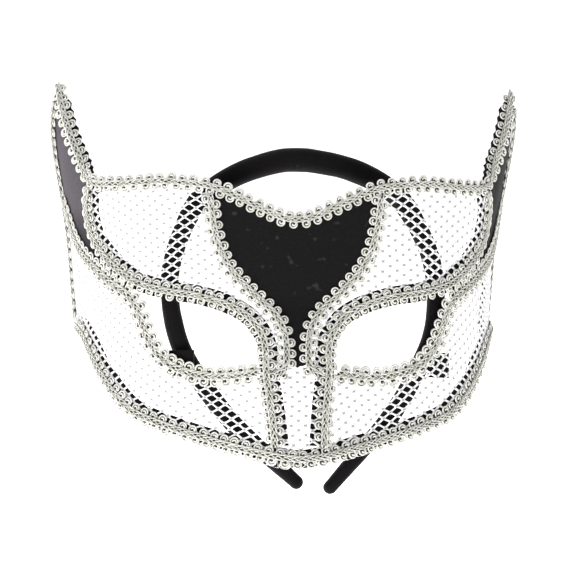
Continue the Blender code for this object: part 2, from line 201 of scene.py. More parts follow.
HEM_LINE = (
    ("wing rear", 0.970, 1.215),
    ("", 0.995, 1.100),
    ("", 1.000, 0.960),
    ("", 1.000, 0.640),
    ("", 0.986, 0.592),
    ("", 0.945, 0.566),
    ("", 0.870, 0.552),
    ("", 0.790, 0.513),
    ("", 0.745, 0.455),
    ("", 0.703, 0.390),
    ("", 0.603, 0.250),
    ("", 0.540, 0.183),
    ("", 0.475, 0.142),
    ("", 0.316, 0.070),
    ("", 0.150, 0.006),
    ("foot", 0.066, -0.025),
    ("middle", 0.000, -0.038),
)
NOSE_PEAK_UP_SHARE = 0.385
WING_TIP_POINTS = 4

# Headband line: shares of its half width and of its length below the top of the arch
BAND_LINE = (
    ("", 0.000, 0.000),
    ("", 0.100, 0.002),
    ("", 0.270, 0.015),
    ("", 0.420, 0.035),
    ("", 0.615, 0.077),
    ("", 0.770, 0.128),
    ("", 0.920, 0.243),
    ("", 0.986, 0.334),
    ("", 1.000, 0.427),
    ("", 0.980, 0.506),
    ("", 0.934, 0.575),
    ("tab", 0.859, 0.637),
    ("", 0.735, 0.723),
    ("", 0.578, 0.810),
    ("", 0.372, 0.898),
    ("end", 0.150, 0.990),
)

# Fullness of the band: share of its length below the top, share of its section at the tabs
BAND_FULLNESS = ((0.00, 1.22), (0.08, 1.14), (0.20, 1.00), (0.40, 0.93), (0.55, 0.96), (0.66, 1.00),
                 (0.80, 0.96), (0.90, 0.86), (1.00, 0.72))

# Net: each panel's mesh angle in degrees, mesh width and mesh height
NETS = {
    "brow_left": (0.0, 0.00580, 0.00390),
    "brow_right": (2.0, 0.00625, 0.00425),
    "cheek_left": (-8.0, 0.00580, 0.00395),
    "cheek_right": (8.0, 0.00600, 0.00400),
    "nose": (0.0, 0.00560, 0.00395),
}
NET_HOLE_WIDTH_SHARE = 0.77
NET_HOLE_HEIGHT_SHARE = 0.71
NET_HOLE_ROUNDNESS = 1.22
NET_SIDES = 12
NET_RINGS = ((0.0, 1.0), (0.5, 0.97), (1.0, 0.88))
NET_STRAND_LEVEL = 0.88
NET_KNOT_SHARPNESS = 2.2
NET_WAVE = 0.00035
NET_WAVE_LENGTH = 0.019
NET_WAVE_SLANT = 0.4
NET_WAVE_STRETCH = 0.8
NET_WAVE_PHASE = 1.3

# Gimp braid: a plait of five cords with a scroll of cord at each side in every pitch
SCROLL_PITCH = 0.00455
SCROLL_OFFSET = 0.00200
SCROLL_RADIUS = 0.00150
SCROLL_INNER_RADIUS = 0.00044
SCROLL_CORD_RADIUS = 0.00037
SCROLL_STEM = 0.0030
SCROLL_SEGMENTS = 26
SCROLL_TURN = math.radians(640.0)
SCROLL_RISE = 0.00045
SCROLL_RISE_START = 0.3
SCROLL_RISE_SPAN = 0.6
SCROLL_SHRINK_START = 0.42
SCROLL_SHRINK_SPAN = 0.5
SCROLL_STEM_POINTS = 5
SCROLL_STEM_END_SHARE = 0.15
SCROLL_ROOT_TAPER = (0.5, 0.85)
SCROLL_TIP_TAPER = (0.9, 0.45)
SCROLL_SIDES = ((1.0, 0.25), (-1.0, 0.75))
SCROLL_STRAY = 0.0002
SCROLL_SPIN = 0.28
SCROLL_SIZES = (0.93, 1.06)
SCROLL_LIFTS = (-0.00008, 0.00014)
PLAIT_PERIOD = 0.0140
PLAIT_REACH = 0.00120
PLAIT_LIFT = 0.00030
PLAIT_RADIUS = 0.00023
PLAIT_STRANDS = 5
PLAIT_STEP = 0.00080
# Painted shade: a dark strip under the plait and a dark disc under each scroll, where the cords shade
# one another
PLAIT_SHADE_CORE_RADIUS = 0.00105
PLAIT_SHADE_CORE_FLATNESS = 0.35
PLAIT_SHADE_CORE_HEIGHT = 0.0005
SCROLL_SHADE_DISC_RADIUS = 0.00105
SCROLL_SHADE_DISC_SIDES = 8
# Place round a cord that its colour paints darkest as painted shade; the dark strip and discs take it
PAINTED_SHADE_SIDE = 0.75
CORD_SIDES = 6
PLAIT_SIDES = 5
BRAID_STEP = 0.0004
BRAID_SMOOTHING = 7
BRAID_LOW = 0.0009
PLAIT_HEIGHT = 0.00125
BRAID_OVERLAP_SHARE = 0.34
CHEEK_BRAID_FULLNESS = 1.18
BARE_TIP = 0.0030
CORD_TWIST = 0.00032

# Painted sheen on the left wing's cloth: how far up the face it turns from black to pale, by how much
# that wanders, and how far its surface faces up the face where it turns back to black
PAINTED_SHEEN_SPAN = (0.024, 0.042)
PAINTED_SHEEN_UNEVENNESS = 0.016
PAINTED_SHEEN_TURN = (0.02, 0.14)
PAINTED_SHEEN_BLOTCH_SCALE = 90.0
PAINTED_SHEEN_BLOTCH_DETAIL = 2.0
PAINTED_SHEEN_NAP_SHADE = 0.75
WING_CLOTH_BLACK = (0.006, 0.006, 0.006)
PAINTED_SHEEN_PALE = (0.115, 0.102, 0.119)

# Black cloths: name, colours of the nap's hollows and of its tips, colour of the lint; the hollows'
# darker colour is painted shade
CLOTH_LOOKS = (
    ("black_cloth", (0.005, 0.005, 0.005), (0.010, 0.010, 0.010), (0.030, 0.030, 0.033)),
    ("band_cloth", (0.004, 0.003, 0.004), (0.007, 0.006, 0.007), (0.015, 0.015, 0.015)),
    ("felt", (0.003, 0.003, 0.003), (0.007, 0.006, 0.007), (0.060, 0.060, 0.060)),
)
CLOTH_ROUGHNESS = 0.85
CLOTH_SHEEN = 0.04
CLOTH_SHEEN_ROUGHNESS = 0.5
CLOTH_SPECULAR = 0.15
NAP_SCALE = 1400.0
NAP_DETAIL = 4.0
NAP_SPAN = (0.35, 0.75)
NAP_BUMP = (0.6, 0.0003)
LINT_SCALE = 260.0
LINT_DETAIL = 1.0
LINT_SPAN = (0.70, 0.78)

# Net yarn and silver cord: tones are places on the grain and their colours
YARN_DETAIL = 3.0
NET_ROUGHNESS = 0.5
NET_SHEEN = 0.2
NET_COLOUR = (0.97, 0.97, 0.97)
NET_TONES = ((0.3, (0.92, 0.91, 0.92)), (0.7, (0.98, 0.98, 0.98)))
# Painted shade: the yarn is coloured grey at its knots, where the knots shade the net
NET_KNOT_PAINTED_SHADE = (0.36, 0.35, 0.36)
NET_KNOT_SHADE_SPAN = (0.12, 0.60)
NET_GRAIN_SCALE = 900.0
# Painted light: the yarn glows with its own colour, in place of light coming through it
NET_PAINTED_GLOW = 0.16
NET_BUMP = (0.4, 0.0002)
CORD_ROUGHNESS = 0.30
CORD_SHEEN = 0.1
CORD_COLOUR = (0.80, 0.79, 0.72)
CORD_TONES = ((0.30, (0.72, 0.71, 0.62)), (0.46, (0.93, 0.92, 0.85)), (0.64, (1.00, 1.00, 0.96)))
# Painted shade: the cord's colour darkens towards its underside and on its sides
CORD_PAINTED_SHADE = (0.075, 0.072, 0.042)
CORD_PAINTED_SHADE_SPAN = (-0.55, 0.50)
CORD_GRAIN_SCALE = 420.0
CORD_METAL = 0.28
CORD_BUMP = (0.5, 0.00006)


# Numbers and vectors
def smooth(share):
    t = np.clip(share, 0.0, 1.0)
    return t * t * (3.0 - 2.0 * t)


def unit(vectors):
    return vectors / np.linalg.norm(vectors, axis=-1, keepdims=True)


def distances(points):
    """How far along a line each of its points lies."""
    return np.concatenate(([0.0], np.cumsum(np.linalg.norm(np.diff(points, axis=0), axis=1))))


def length_of(points):
    return float(np.linalg.norm(np.diff(points, axis=0), axis=1).sum())


def rounded_ring(sides, squareness):
    """Places round a ring from -1 to 1 each way, which is a circle where the squareness is 2."""
    turn = np.arange(sides) * 2 * math.pi / sides
    power = 2.0 / squareness
    return np.stack([np.sign(v) * np.abs(v) ** power for v in (np.cos(turn), np.sin(turn))], axis=1)


def ring_quads(rings, sides):
    """The quads between rings of points that follow one another."""
    quads = []
    for i in range(rings - 1):
        for k in range(sides):
            j = (k + 1) % sides
            quads.append((i * sides + k, i * sides + j, (i + 1) * sides + j, (i + 1) * sides + k))
    return quads


# Form of the face


def face_arc():
    """The face's level section from its middle to its rear edge: arc length, x and z."""
    angle = np.linspace(0.0, math.pi / 2, ARC_SAMPLES)
    x = FACE_HALF_WIDTH * np.sin(angle) ** (2.0 / FACE_FULLNESS)
    z = FACE_DEPTH * np.cos(angle) ** (2.0 / FACE_FULLNESS)
    arc = np.concatenate(([0.0], np.cumsum(np.hypot(np.diff(x), np.diff(z)))))
    return arc, x, z


ARC, ARC_X, ARC_Z = face_arc()
HALF_GIRTH = float(ARC[-1])


def face_points(s, y):
    """The form's points at distances s round from the middle line and y up."""
    up = y / FACE_HEIGHT
    flare = smooth((up - FLARE_START_SHARE) / (FLARE_END_SHARE - FLARE_START_SHARE))
    tuck = smooth((TUCK_START_SHARE - up) / (TUCK_START_SHARE - TUCK_END_SHARE))
    level = np.interp(np.abs(s), ARC, ARC_Z)
    width = 1.0 + WING_FLARE / FACE_HALF_WIDTH * flare
    width = width - JAW_TUCK / FACE_HALF_WIDTH * tuck * (1.0 - level / FACE_DEPTH) ** 2
    x = np.sign(s) * np.interp(np.abs(s), ARC, ARC_X) * width
    rise = np.maximum(NOSE_TOP_SHARE - up, 0.0) / NOSE_TOP_SHARE
    bump = 0.5 + 0.5 * np.cos(math.pi * np.minimum(np.abs(s) / NOSE_HALF_WIDTH, 1.0))
    return np.stack((x, y, level + NOSE_HEIGHT * rise ** NOSE_RISE_POWER * bump), axis=-1)


def face_normals(s, y):
    """The outward directions of the form there."""
    around = face_points(s + SLOPE_STEP, y) - face_points(s - SLOPE_STEP, y)
    upward = face_points(s, y + SLOPE_STEP) - face_points(s, y - SLOPE_STEP)
    return unit(np.cross(around, upward))


def wrapped(flat):
    """Flat pattern points, laid on the form at their heights off the cloth, in the row frame."""
    within = np.clip(flat[:, 0], -(HALF_GIRTH - SLOPE_STEP), HALF_GIRTH - SLOPE_STEP)
    on_form = face_points(flat[:, 0], flat[:, 1])
    laid = on_form + flat[:, 2:3] * face_normals(within, flat[:, 1])
    side = np.where(flat[:, 0] < 0.0, -1.0, 1.0)
    right = flat[:, :2] * np.column_stack((side, np.ones(len(flat))))
    near = np.flatnonzero(right[:, 1] > WING_FRONT[0, 1])
    if len(near):
        curled, rows = curl(right[near], flat[near, 2])
        curled[:, 0] *= side[near][rows]
        laid[near[rows]] = curled
    return laid + FACE_PLACE


def curl(right, height):
    """The right wing's front edge, bent in towards the head: its points, and which ones bend."""
    foot, _ = nearest(right, WING_FRONT)
    place = np.linalg.norm(foot[:, None] - WING_FRONT[None], axis=2).argmin(axis=1)
    middle = right_of(directions(WING_FRONT))[place] * -1.0
    off = ((right - foot) * middle).sum(axis=1) + BRAID_WIDTH / 2
    rows = np.flatnonzero((off > 0.0) & (place > 0))
    foot, middle, off, place = foot[rows], middle[rows], off[rows], place[rows]
    turn = WING_CURL * smooth(place * LINE_STEP / WING_CURL_START) + LEAST_TURN
    bent = np.minimum(off / WING_CURL_BEND, 1.0) * turn
    radius = WING_CURL_BEND / turn
    past = np.maximum(off - WING_CURL_BEND, 0.0)
    forward = radius * np.sin(bent) + past * np.cos(bent) + height[rows] * np.sin(bent)
    inward = radius * (1.0 - np.cos(bent)) + past * np.sin(bent) - height[rows] * np.cos(bent)
    base = foot - middle * BRAID_WIDTH / 2
    on_form = face_points(base[:, 0], base[:, 1])
    ahead = base + middle * SLOPE_STEP
    way = unit(face_points(ahead[:, 0], ahead[:, 1]) - on_form)
    normal = face_normals(base[:, 0], base[:, 1])
    return on_form + forward[:, None] * way - inward[:, None] * normal, rows


# Lines on the flat pattern
def drawn(table, width, height, step):
    """A smooth line through a table's places: its points, and the index of each named one."""
    knots = np.array([(across * width, up * height) for _, across, up in table])
    spans = np.linalg.norm(np.diff(knots, axis=0), axis=1)
    slopes = []
    for i in range(len(knots)):
        before, after = max(i - 1, 0), min(i + 1, len(knots) - 1)
        slopes.append((knots[after] - knots[before]) / spans[before:after].sum())
    points, names = [], {}
    for i, span in enumerate(spans):
        names[table[i][0]] = len(points)
        count = max(1, round(span / step))
        for t in np.arange(count) / count:
            points.append((2 * t**3 - 3 * t**2 + 1) * knots[i] + (3 * t**2 - 2 * t**3) * knots[i + 1]
                          + (t**3 - 2 * t**2 + t) * span * slopes[i]
                          + (t**3 - t**2) * span * slopes[i + 1])
    names[table[-1][0]] = len(points)
    points.append(knots[-1])
    return np.array(points), names


def run(line, first, last):
    """The line's points from one named place to another."""
    points, names = line
    return points[names[first]:names[last] + 1]


def directions(points):
    """The way along a line at each of its points."""
    return unit(np.gradient(points, axis=0))


def right_of(along):
    return np.stack((along[:, 1], -along[:, 0]), axis=1)


def beside(points, distance):
    """The line that runs at a distance to the right of another."""
    return points + right_of(directions(points)) * distance


def mirrored(points):
    return points * np.array((-1.0, 1.0))


def both_sides(points):
    """A right-hand line that starts on the middle line, with its mirror image before it."""
    return np.concatenate((mirrored(points)[:0:-1], points))


def evenly(points, step):
    """The line's points at even distances."""
    at = distances(points)
    places = np.linspace(0.0, at[-1], max(2, round(at[-1] / step)) + 1)
    return np.stack([np.interp(places, at, points[:, axis]) for axis in range(2)], axis=1)


def nearest(points, line):
    """Each point's nearest place on a line, and its distance."""
    starts, ends = line[:-1], line[1:]
    spans = ends - starts
    length = np.maximum((spans ** 2).sum(axis=1), LEAST_SPAN_SQUARED)
    reach = points[:, None, :] - starts[None]
    t = np.clip((reach * spans[None]).sum(axis=2) / length[None], 0.0, 1.0)
    places = starts[None] + t[..., None] * spans[None]
    far = np.linalg.norm(points[:, None, :] - places, axis=2)
    best = far.argmin(axis=1)
    rows = np.arange(len(points))
    return places[rows, best], far[rows, best]


def inside(points, outline):
    """Which points lie in a closed outline."""
    x, y = points[:, 0:1], points[:, 1:2]
    x1, y1 = outline[:, 0][None], outline[:, 1][None]
    x2, y2 = np.roll(outline[:, 0], -1)[None], np.roll(outline[:, 1], -1)[None]
    rises = (y1 > y) != (y2 > y)
    with np.errstate(divide="ignore", invalid="ignore"):
        crossing = x1 + (y - y1) / (y2 - y1) * (x2 - x1)
    return (rises & (x < crossing)).sum(axis=1) % 2 == 1


LINE_STEP = 0.0015
BROW = drawn(BROW_LINE + WING_TAIL, HALF_GIRTH, FACE_HEIGHT, LINE_STEP)
EYE = drawn(EYE_LINE, HALF_GIRTH, FACE_HEIGHT, LINE_STEP)
SHIELD = drawn(SHIELD_LINE + SHIELD_TAIL, HALF_GIRTH, FACE_HEIGHT, LINE_STEP)
CHEEK = drawn(CHEEK_LINE, HALF_GIRTH, FACE_HEIGHT, LINE_STEP)
WING_REAR = drawn(WING_REAR_LINE, HALF_GIRTH, FACE_HEIGHT, LINE_STEP)
HEM = drawn(HEM_LINE, HALF_GIRTH, FACE_HEIGHT, LINE_STEP)
NOSE_PEAK = np.array(((0.0, NOSE_PEAK_UP_SHARE * FACE_HEIGHT),))
WING_FRONT = run(BROW, "root", "tip")


# Meshes
def new_piece(name, points, faces, look, node, uvs=None):
    """A smooth mesh object that stands for a CAD node."""
    mesh = bpy.data.meshes.new(name)
    mesh.from_pydata([tuple(p) for p in points], [], [tuple(f) for f in faces])
    if uvs is not None:
        layer = mesh.uv_layers.new(name="yarn")
        corners = np.array([v for face in faces for v in face])
        layer.data.foreach_set("uv", uvs[corners].astype(np.float32).ravel())
    mesh.materials.append(look)
    mesh.shade_smooth()
    made = bpy.data.objects.new(name, mesh)
    bpy.context.collection.objects.link(made)
    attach(made, "root")
    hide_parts(node)
    return made


def two_layers(points, quads, high, low):
    """A solid between two heights of a flat mesh, with walls round every open edge."""
    count = len(points)
    upper = np.column_stack((points, high))
    lower = np.column_stack((points, low))
    ways = np.concatenate([quads[:, [i, (i + 1) % 4]] for i in range(4)])
    edges = np.sort(ways, axis=1)
    _, first, uses = np.unique(edges, axis=0, return_index=True, return_counts=True)
    rim = ways[first[uses == 1]]
    walls = np.column_stack((rim[:, 1], rim[:, 0], rim[:, 0] + count, rim[:, 1] + count))
    faces = np.concatenate((quads, quads[:, ::-1] + count, walls))
    return np.concatenate((upper, lower)), faces


# Net
def net_cells(outline, angle, width, height):
    """Centres of the meshes whose middle lies in the outline, and the lattice's directions."""
    turn = math.radians(angle)
    across = np.array((math.cos(turn), math.sin(turn)))
    upward = np.array((-math.sin(turn), math.cos(turn)))
    middle = (outline.max(axis=0) + outline.min(axis=0)) / 2
    reach = np.linalg.norm(outline - middle, axis=1).max()
    rows = np.arange(-math.ceil(2 * reach / height), math.ceil(2 * reach / height) + 1)
    columns = np.arange(-math.ceil(reach / width), math.ceil(reach / width) + 1)
    centres = []
    for row in rows:
        for column in columns:
            shift = (column + 0.5 * (row % 2)) * width
            centres.append(middle + shift * across + row * height / 2 * upward)
    centres = np.array(centres)
    return centres[inside(centres, outline)], across, upward


def net_cell(width, height):
    """The yarn round one mesh: its places from the mesh's middle, heights, knot marks and quads."""
    quarter = NET_SIDES // 4
    corner = np.arange(NET_SIDES) % quarter / quarter
    ends = np.array(((1, 0), (0, 1), (-1, 0), (0, -1), (1, 0)), float)
    which = np.arange(NET_SIDES) // quarter
    rim = (1 - corner)[:, None] * ends[which] + corner[:, None] * ends[which + 1]
    hole = rounded_ring(NET_SIDES, NET_HOLE_ROUNDNESS) * (NET_HOLE_WIDTH_SHARE, NET_HOLE_HEIGHT_SHARE)
    half = np.array((width / 2, height / 2))
    knot = np.maximum(1 - NET_KNOT_SHARPNESS * np.minimum(corner, 1 - corner), 0.0) ** 2
    rings, heights, knots = [], [], []
    for share, level in NET_RINGS:
        rings.append(((1 - share) * rim + share * hole) * half)
        knots.append(knot * (1 - share))
        heights.append(level * (NET_STRAND_LEVEL + (1 - NET_STRAND_LEVEL) * knots[-1]))
    quads = np.array(ring_quads(len(NET_RINGS), NET_SIDES))
    return np.concatenate(rings), np.concatenate(heights), np.concatenate(knots), quads


def net(outline, angle, width, height):
    """A knitted net of rounded strands with a thick knot at each crossing, marked in its UVs."""
    centres, across, upward = net_cells(outline, angle, width, height)
    local, heights, knots, quads = net_cell(width, height)
    lattice = np.stack((across, upward))
    points = (centres[:, None, :] + (local @ lattice)[None]).reshape(-1, 2)
    high = np.tile(heights, len(centres)) * NET_THICKNESS / 2
    knots = np.tile(knots, len(centres))
    starts = np.arange(len(centres)) * len(local)
    faces = (quads[None] + starts[:, None, None]).reshape(-1, 4)
    keys = np.round(points / WELD_STEP).astype(np.int64)
    _, first, back = np.unique(keys, axis=0, return_index=True, return_inverse=True)
    back = back.reshape(-1)
    points, high, knots, faces = points[first], high[first], knots[first], back[faces]
    wave = 2 * math.pi / NET_WAVE_LENGTH
    sway = np.stack((np.sin(points[:, 1] * wave + points[:, 0] * wave * NET_WAVE_SLANT),
                     np.sin(points[:, 0] * wave * NET_WAVE_STRETCH + NET_WAVE_PHASE)), axis=1)
    points = points + NET_WAVE * sway
    outside = ~inside(points, outline)
    if outside.any():
        closed = np.concatenate((outline, outline[:1]))
        points[outside] = nearest(points[outside], closed)[0]
    uvs = np.column_stack((knots, np.zeros(len(knots))))
    return *two_layers(points, faces, high, -high), np.concatenate((uvs, uvs))


def nets(look):
    brow = np.concatenate((run(BROW, "shield corner", "root"), run(EYE, "root", "nose top")[1:],
                           run(SHIELD, "shield corner", "point")[:0:-1]))
    cheek = np.concatenate((run(CHEEK, "wing rear", "nose top"), run(EYE, "nose top", "foot")[1:],
                            run(HEM, "wing rear", "foot")[-2:0:-1]))
    nose = np.concatenate((NOSE_PEAK, run(SHIELD, "point", "point"), run(EYE, "nose top", "foot"),
                           run(HEM, "foot", "middle")[1:]))
    nose = np.concatenate((nose, mirrored(nose)[-2:0:-1]))
    cut = {"brow_right": brow, "brow_left": mirrored(brow), "cheek_right": cheek,
           "cheek_left": mirrored(cheek), "nose": nose}
    for name, outline in cut.items():
        flat, faces, uvs = net(outline, *NETS[name])
        place, _, side = name.partition("_")
        node = f"{place}_mesh_{side}" if side else f"{place}_mesh"
        piece = new_piece(f"{name}_net", wrapped(flat), faces, look, node, uvs)
        piece.data.set_sharp_from_angle(angle=NET_CREASE)


# Black cloth
def cloth(outline, thickness, step):
    """A flat piece of cloth, cut in small squares."""
    sheet = bmesh.new()
    sheet.faces.new([sheet.verts.new((x, y, 0.0)) for x, y in outline])
    sheet.normal_update()
    for axis in (Vector((1.0, 0.0, 0.0)), Vector((0.0, 1.0, 0.0))):
        reach = [vert.co.dot(axis) for vert in sheet.verts]
        for k in range(math.floor(min(reach) / step) + 1, math.ceil(max(reach) / step)):
            geometry = sheet.verts[:] + sheet.edges[:] + sheet.faces[:]
            bmesh.ops.bisect_plane(sheet, geom=geometry, dist=GAP / 10, plane_co=axis * k * step,
                                   plane_no=axis)
    bmesh.ops.remove_doubles(sheet, verts=sheet.verts, dist=GAP / 2)
    bmesh.ops.triangulate(sheet, faces=sheet.faces)
    sheet.verts.index_update()
    points = np.array([(vert.co.x, vert.co.y) for vert in sheet.verts])
    faces = [[vert.index for vert in face.verts] for face in sheet.faces]
    rim = []
    for edge in sheet.edges:
        if len(edge.link_faces) == 1:
            loop = edge.link_loops[0]
            rim.append((loop.vert.index, loop.link_loop_next.vert.index))
    sheet.free()
    count = len(points)
    ripple = np.array([noise.noise(Vector((x * CLOTH_RIPPLE_SCALE, y * CLOTH_RIPPLE_SCALE,
                                           CLOTH_RIPPLE_LAYER))) for x, y in points])
    high = thickness / 2 + ripple * CLOTH_RIPPLE
    low = high - thickness
    solid = np.concatenate((np.column_stack((points, high)), np.column_stack((points, low))))
    walls = [(b, a, a + count, b + count) for a, b in rim]
    return solid, faces + [[i + count for i in reversed(f)] for f in faces] + walls


def teeth(points, reach, pitch):
    """A line with small points that stand out to its left."""
    even = evenly(points, pitch / TOOTH_POINTS)
    out = -right_of(directions(even)) * reach
    share = np.abs((np.arange(len(even)) / TOOTH_POINTS % 1.0) - 0.5) * 2.0
    return even + out * share[:, None]


def panels(look, left_wing_look):
    shield = np.concatenate((run(BROW, "middle", "shield corner"),
                             run(SHIELD, "shield corner", "point")[1:]))
    forehead = np.concatenate((mirrored(shield)[:0:-1], shield, NOSE_PEAK))
    flat, faces = cloth(forehead, FABRIC_THICKNESS, CLOTH_STEP)
    piece = new_piece("forehead_cloth", wrapped(flat), faces, look, "forehead_panel")
    front = beside(run(BROW, "root", "wing end"), -(BRAID_WIDTH / 2 + WING_SELVEDGE))
    front = teeth(front, WING_TEETH, WING_TEETH_PITCH)
    wing = np.concatenate((run(EYE, "root", "corner")[::-1], front[1:-WING_TIP_POINTS],
                           run(WING_REAR, "wing tip", "wing rear")[WING_TIP_POINTS - 2:],
                           run(CHEEK, "wing rear", "corner")[1:]))
    for side, outline in (("right", wing), ("left", mirrored(wing))):
        flat, faces = cloth(outline, FABRIC_THICKNESS, CLOTH_STEP)
        wing_look = left_wing_look if side == "left" else look
        piece = new_piece(f"wing_cloth_{side}", wrapped(flat), faces, wing_look,
                          f"wing_panel_{side}")


# Braid
def edge_line(width, inset=0.0):
    """The middle of a strip that lies just inside the mask's rear edge and hem."""
    edge = np.concatenate((run(WING_REAR, "wing tip", "wing rear"),
                           run(HEM, "wing rear", "middle")[1:]))
    inner = beside(edge, width / 2 + GAP + inset)
    inner[-1, 0] = 0.0
    return both_sides(inner[::-1])


def cut_back(points, neighbours, clearance):
    """The longest run of a line's points that keeps clear of its neighbours' middles."""
    free = np.ones(len(points), bool)
    for line in neighbours:
        free &= nearest(points, line)[1] > clearance
    best, start = (0, 0), None
    for i, clear in enumerate([*free, False]):
        if clear and start is None:
            start = i
        if not clear and start is not None:
            if i - start > best[1] - best[0]:
                best = (start, i)
            start = None
    return points[best[0]:best[1]]


def tube(path, radii, sides):
    """A round cord along a path in the flat pattern: points, quads, and lengthwise places."""
    along = directions(path)
    aside = unit(np.cross(along, np.array((0.0, 0.0, 1.0))))
    upward = np.cross(aside, along)
    turn = np.arange(sides) * 2 * math.pi / sides
    ring = (np.cos(turn)[None, :, None] * aside[:, None]
            + np.sin(turn)[None, :, None] * upward[:, None])
    points = path[:, None] + ring * radii[:, None, None]
    uvs = np.stack((np.repeat(distances(path), sides),
                    np.tile(np.arange(sides) / sides, len(path))), axis=1)
    return points.reshape(-1, 3), ring_quads(len(path), sides), uvs


def closed_tube(path, radii, sides):
    points, faces, uvs = tube(path, radii, sides)
    faces.append(tuple(range(sides))[::-1])
    faces.append(tuple(range(len(points) - sides, len(points))))
    return points, faces, uvs


def scroll():
    """The path of one scroll's cord from the plait, round its loop and in to its eye."""
    turned = np.linspace(0.0, 1.0, SCROLL_SEGMENTS)
    angle = -math.pi / 2 + SCROLL_TURN * turned
    shrink = smooth((turned - SCROLL_SHRINK_START) / SCROLL_SHRINK_SPAN)
    radius = SCROLL_RADIUS + (SCROLL_INNER_RADIUS - SCROLL_RADIUS) * shrink
    loop = np.stack((radius * np.cos(angle), SCROLL_OFFSET + radius * np.sin(angle),
                     SCROLL_RISE * smooth((turned - SCROLL_RISE_START) / SCROLL_RISE_SPAN)), axis=1)
    stem_share = np.linspace(1.0, SCROLL_STEM_END_SHARE, SCROLL_STEM_POINTS)
    stem = np.stack((-SCROLL_STEM * stem_share,
                     (SCROLL_OFFSET - SCROLL_RADIUS) * (1.0 - stem_share ** 2),
                     SCROLL_RISE * stem_share), axis=1)
    return np.concatenate((stem, loop))


def scroll_unit():
    """One scroll's cord over a dark disc of painted shade, to the left of the plait's middle line."""
    path = scroll()
    radii = np.full(len(path), SCROLL_CORD_RADIUS)
    radii[:2] *= SCROLL_ROOT_TAPER
    radii[-2:] *= SCROLL_TIP_TAPER
    cord, faces, uvs = tube(path, radii, CORD_SIDES)
    faces.append(tuple(range(len(cord) - CORD_SIDES, len(cord))))
    turn = np.arange(SCROLL_SHADE_DISC_SIDES) * 2 * math.pi / SCROLL_SHADE_DISC_SIDES
    disc = np.stack((SCROLL_SHADE_DISC_RADIUS * np.cos(turn),
                     SCROLL_OFFSET + SCROLL_SHADE_DISC_RADIUS * np.sin(turn), np.zeros(len(turn))), axis=1)
    disc = np.concatenate((disc, disc - (0.0, 0.0, SCROLL_CORD_RADIUS / 2)))
    k, n = len(cord), SCROLL_SHADE_DISC_SIDES
    faces.append(tuple(range(k, k + n)))
    faces.append(tuple(range(k + n, k + 2 * n))[::-1])
    faces += [(k + (i + 1) % n, k + i, k + n + i, k + n + (i + 1) % n) for i in range(n)]
    uvs = np.concatenate((uvs, np.tile((0.0, PAINTED_SHADE_SIDE), (len(disc), 1))))
    return np.concatenate((cord, disc)), faces, uvs


def scrolls(at, length, rng, fullness, bare_ends):
    """The scrolls along both sides of a plait, each turned and sized a little differently."""
    unit, unit_faces, uvs = scroll_unit()
    local = unit - (0.0, SCROLL_OFFSET, 0.0)
    pitches = max(1, round((length - SCROLL_PITCH / 2) / SCROLL_PITCH))
    pitch = (length - SCROLL_PITCH / 2) / pitches
    parts = []
    for k in range(pitches):
        for sign, offset in SCROLL_SIDES:
            stray = rng.uniform(-SCROLL_STRAY, SCROLL_STRAY)
            place = (k + offset) * pitch + SCROLL_PITCH / 4 + stray
            spin = rng.uniform(-SCROLL_SPIN, SCROLL_SPIN)
            size = rng.uniform(*SCROLL_SIZES)
            lift = rng.uniform(*SCROLL_LIFTS)
            if place < bare_ends or place > length - bare_ends:
                continue
            centre, ahead, out = at(place)
            turned = np.stack((local[:, 0] * math.cos(spin) - local[:, 1] * math.sin(spin),
                               local[:, 0] * math.sin(spin) + local[:, 1] * math.cos(spin)), axis=1)
            turned *= size * fullness
            turned[:, 1] += SCROLL_OFFSET * fullness
            flat_xy = centre + turned[:, 0:1] * ahead + sign * turned[:, 1:2] * out
            z = BRAID_LOW + SCROLL_CORD_RADIUS + local[:, 2] + lift
            faces = unit_faces if sign > 0 else [face[::-1] for face in unit_faces]
            parts.append((np.column_stack((flat_xy, z)), faces, uvs))
    return parts


def plait(at, length, fullness):
    """The plaited cords along a braid's middle, over a dark strip of painted shade between them."""
    distance = np.linspace(0.0, length, max(4, round(length / PLAIT_STEP)))
    centre, _, out = at(distance)
    parts = []
    for strand in range(PLAIT_STRANDS):
        phase = 2 * math.pi * (distance / PLAIT_PERIOD + strand / PLAIT_STRANDS)
        flat_xy = centre + (PLAIT_REACH * fullness * np.sin(phase))[:, None] * out
        z = BRAID_LOW + PLAIT_HEIGHT + PLAIT_LIFT * np.sin(2 * phase)
        radii = np.full(len(distance), PLAIT_RADIUS)
        parts.append(closed_tube(np.column_stack((flat_xy, z)), radii, PLAIT_SIDES))
    middle = BRAID_LOW + PLAIT_SHADE_CORE_HEIGHT
    path = np.column_stack((centre, np.full(len(centre), middle)))[::2]
    shade_core, faces, uvs = closed_tube(path, np.full(len(path), PLAIT_SHADE_CORE_RADIUS), PLAIT_SIDES)
    shade_core[:, 2] = middle + (shade_core[:, 2] - middle) * PLAIT_SHADE_CORE_FLATNESS
    uvs[:, 1] = PAINTED_SHADE_SIDE
    parts.append((shade_core, faces, uvs))
    return parts


def joined(parts):
    """Several cords as one mesh: points, faces and cord places."""
    points, faces, uvs, count = [], [], [], 0
    for part_points, part_faces, part_uvs in parts:
        points.append(part_points)
        faces.extend([tuple(v + count for v in face) for face in part_faces])
        uvs.append(part_uvs)
        count += len(part_points)
    return np.concatenate(points), faces, np.concatenate(uvs)


